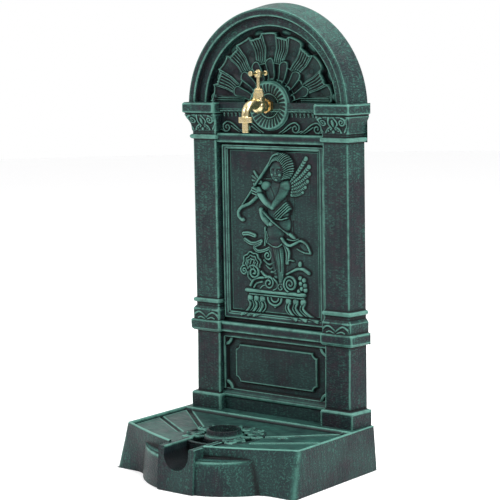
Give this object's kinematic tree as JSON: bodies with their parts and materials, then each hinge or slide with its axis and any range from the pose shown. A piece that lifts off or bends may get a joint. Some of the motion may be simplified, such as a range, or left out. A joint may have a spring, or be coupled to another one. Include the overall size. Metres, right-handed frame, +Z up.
{
  "type": "drinking fountain",
  "caption": "free-standing garden drinking fountain: arched relief column with a brass bib tap over a bow-fronted cast basin with drain grate and spout",
  "frame": {"origin": "on the ground, in the middle of the footprint", "axes": "+X across the front, +Y towards the back, +Z up"},
  "size_m": [0.387, 0.308, 0.7999],
  "materials": {
    "verdigris_column": "charcoal paint with verdigris dry-brushed on raised edges",
    "verdigris_basin": "charcoal paint with verdigris dry-brushed on raised edges",
    "verdigris_grate": "charcoal paint with verdigris dry-brushed on raised edges",
    "tap_brass": "polished cast brass",
    "tap_hex_brass": "darker machined brass",
    "waste_brass": "plain turned brass",
    "copper_pipe": "drawn copper, slightly dulled",
    "zinc_steel": "zinc plated",
    "seal_rubber": "black nitrile rubber"
  },
  "bodies": {
    "root": {"column_casting": "verdigris_column", "base_casting": "verdigris_basin", "drain_grate": "verdigris_grate", "waste_body": "waste_brass", "waste_seal": "seal_rubber", "waste_backnut": "waste_brass", "column_washers": "zinc_steel", "column_bolts": "zinc_steel", "wall_adaptor": "tap_hex_brass", "wall_washer": "zinc_steel", "wall_backnut": "waste_brass", "tap_body": "tap_brass", "tap_bonnet": "tap_brass", "gland_packing": "seal_rubber", "gland_nut": "tap_brass", "union_nut": "tap_brass", "union_seal": "seal_rubber", "outlet_nozzle": "tap_brass", "tap_elbow": "waste_brass", "inlet_connector": "waste_brass", "riser_pipe": "copper_pipe", "riser_nuts": "waste_brass", "pipe_olives": "waste_brass", "pipe_clips": "copper_pipe", "clip_screws": "zinc_steel"},
    "valve": {"valve_washer": "seal_rubber", "valve_jumper": "waste_brass"},
    "handle": {"spindle": "tap_brass", "tap_handle": "tap_brass", "handle_screw": "tap_brass"}
  },
  "joints": [
    {"name": "valve_lift", "type": "slide", "parent": "root", "child": "valve", "axis": [0, 0, 1], "range_m": [0, 0.0045]},
    {"name": "handle_turn", "type": "hinge", "parent": "valve", "child": "handle", "pos_m": [0, 0.09, 0.679], "axis": [0, 0, 1], "range_deg": [0, 540]}
  ],
  "couplings": [
    {"joint": "handle_turn", "follows": "valve_lift", "rad_per_m": 2094}
  ]
}
